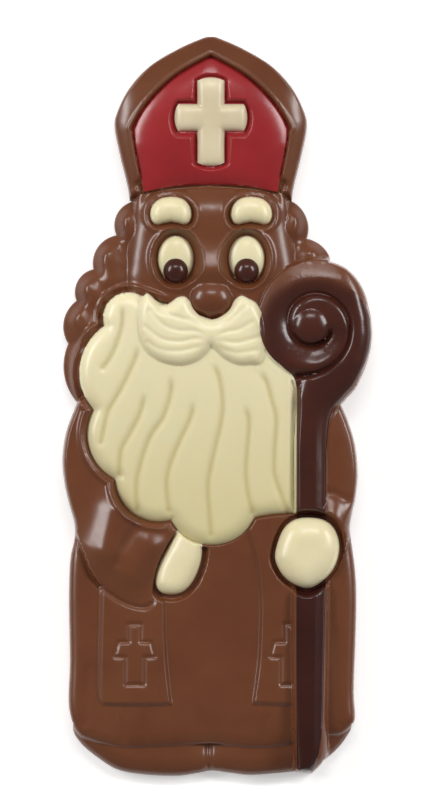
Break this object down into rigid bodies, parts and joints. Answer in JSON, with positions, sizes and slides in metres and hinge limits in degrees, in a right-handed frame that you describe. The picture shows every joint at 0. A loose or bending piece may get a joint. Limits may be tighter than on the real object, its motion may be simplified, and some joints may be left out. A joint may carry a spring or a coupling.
{
  "type": "saint nicholas chocolate figure",
  "caption": "Flat moulded chocolate figure of a bishop with mitre, long beard and crozier, in milk, white, dark and red chocolate, lying on its flat back.",
  "frame": {"origin": "middle of the figure's outline, on its flat back", "axes": "+Y from the feet to the tip of the mitre, +X to the crozier's side, +Z out of the relief"},
  "size_m": [0.0718, 0.1704, 0.0115],
  "materials": {
    "milk_chocolate": "satin",
    "white_chocolate": "satin",
    "dark_chocolate": "satin",
    "red_chocolate": "satin"
  },
  "bodies": {
    "root": {"milk_chocolate_body": "milk_chocolate", "mitre_panel": "red_chocolate", "mitre_cross": "white_chocolate", "brow_left": "white_chocolate", "brow_right": "white_chocolate", "eye_left": "white_chocolate", "eye_right": "white_chocolate", "pupil_left": "dark_chocolate", "pupil_right": "dark_chocolate", "beard": "white_chocolate", "hand_left": "white_chocolate", "hand_right": "white_chocolate", "crozier": "dark_chocolate", "crozier_foot": "dark_chocolate"}
  },
  "joints": []
}
